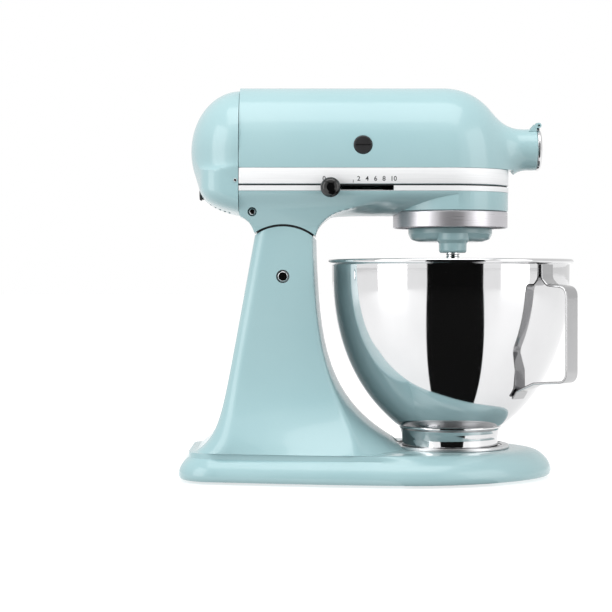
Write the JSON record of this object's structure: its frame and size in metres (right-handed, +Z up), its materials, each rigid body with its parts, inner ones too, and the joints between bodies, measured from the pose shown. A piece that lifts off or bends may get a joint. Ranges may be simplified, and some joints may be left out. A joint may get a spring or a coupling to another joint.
{
  "type": "stand mixer",
  "caption": "Tilt-head stand mixer with a twist-lock steel bowl, planetary beater drive, front power hub and sliding speed control.",
  "frame": {"origin": "on the table under the middle of the machine's bounding box", "axes": "+X to the front of the machine (power hub), +Y to the side of the lock lever, +Z up"},
  "size_m": [0.3549, 0.2218, 0.3516],
  "materials": {
    "enamel": "gloss enamel",
    "polished": "mirror polished",
    "brushed": "satin",
    "steel": "machined",
    "black": "gloss",
    "rubber": "matt",
    "copper": "plain",
    "nylon": "matt",
    "board": "matt"
  },
  "bodies": {
    "base": {"base_casting": "enamel", "hinge_pin": "polished", "bowl_clamp_plate": "brushed", "clamp_plate_screw_1": "steel", "clamp_plate_screw_2": "steel", "clamp_plate_screw_3": "steel", "foot_1": "rubber", "foot_2": "rubber", "foot_3": "rubber", "foot_4": "rubber", "foot_5": "rubber"},
    "head": {"motor_housing": "enamel", "gear_case": "enamel", "rear_cover": "enamel", "trim_band": "brushed", "trim_strip": "brushed", "band_gasket": "rubber", "drip_ring": "brushed", "ring_gear": "steel", "centre_bearing": "steel", "transmission_plate": "steel", "motor_stator": "steel", "rear_bearing": "steel", "front_bearing": "steel", "hub_bushing": "nylon", "control_board": "board", "cord_gland": "rubber", "brush_holder_left": "copper", "brush_cap_left": "black", "neck_screw_left": "steel", "brush_holder_right": "copper", "brush_cap_right": "black", "neck_screw_right": "steel", "cap_pin": "polished"},
    "lock": {"lock_bar": "steel", "lock_lever": "black"},
    "bowl": {"bowl_shell": "polished", "bowl_foot_ring": "polished", "bowl_handle": "polished"},
    "planetary": {"planetary_carrier": "enamel", "centre_shaft": "steel", "centre_gear": "steel", "centre_bevel_gear": "steel"},
    "beater_drive": {"beater_shaft": "polished", "planet_pinion": "steel", "beater_cross_pin": "steel"},
    "worm_wheel_drive": {"worm_wheel": "nylon", "worm_wheel_shaft": "steel", "drive_pinion": "steel"},
    "armature": {"armature_core": "steel", "commutator": "copper", "worm_shaft": "steel", "cooling_fan": "nylon"},
    "power_hub": {"hub_socket": "steel", "hub_bevel_gear": "steel"},
    "hub_cap": {"hub_cap": "polished"},
    "attachment_screw": {"attachment_knob": "black", "attachment_stem": "steel"},
    "speed_control": {"speed_knob": "black", "speed_link": "steel"}
  },
  "joints": [
    {"name": "head_tilt", "type": "hinge", "parent": "base", "child": "head", "pos_m": [-0.085, 0, 0.1815], "axis": [0, -1, 0], "range_deg": [0, 45]},
    {"name": "head_lock_slide", "type": "slide", "parent": "base", "child": "lock", "axis": [-1, 0, 0], "range_m": [0, 0.008]},
    {"name": "bowl_twist", "type": "hinge", "parent": "base", "child": "bowl", "pos_m": [0.0665, 0, 0.03], "axis": [0, 0, 1], "range_deg": [0, 30]},
    {"name": "planetary_spin", "type": "hinge", "parent": "head", "child": "planetary", "pos_m": [0.0665, 0, 0.22], "axis": [0, 0, 1], "continuous": true},
    {"name": "beater_spin", "type": "hinge", "parent": "planetary", "child": "beater_drive", "pos_m": [0.0665, -0.028, 0.2], "axis": [0, 0, 1], "continuous": true},
    {"name": "worm_wheel_spin", "type": "hinge", "parent": "head", "child": "worm_wheel_drive", "pos_m": [0.02438, 0.026, 0.28], "axis": [0, 0, 1], "continuous": true},
    {"name": "armature_spin", "type": "hinge", "parent": "head", "child": "armature", "pos_m": [0, 0, 0.297], "axis": [1, 0, 0], "continuous": true},
    {"name": "power_hub_spin", "type": "hinge", "parent": "head", "child": "power_hub", "pos_m": [0.12, 0, 0.2962], "axis": [1, 0, 0], "continuous": true},
    {"name": "hub_cap_hinge", "type": "hinge", "parent": "head", "child": "hub_cap", "pos_m": [0.1456, 0, 0.3176], "axis": [0, -1, 0], "range_deg": [0, 100]},
    {"name": "attachment_knob_turn", "type": "hinge", "parent": "head", "child": "attachment_screw", "pos_m": [0.131, 0.03, 0.2962], "axis": [0, 1, 0], "range_deg": [0, 540]},
    {"name": "speed_slide", "type": "slide", "parent": "head", "child": "speed_control", "axis": [1, 0, 0], "range_m": [0, 0.053]}
  ],
  "couplings": [
    {"joint": "beater_spin", "follows": "planetary_spin", "ratio": -3.3571},
    {"joint": "worm_wheel_spin", "follows": "planetary_spin", "ratio": -2},
    {"joint": "armature_spin", "follows": "planetary_spin", "ratio": 30},
    {"joint": "power_hub_spin", "follows": "planetary_spin", "ratio": -1}
  ]
}
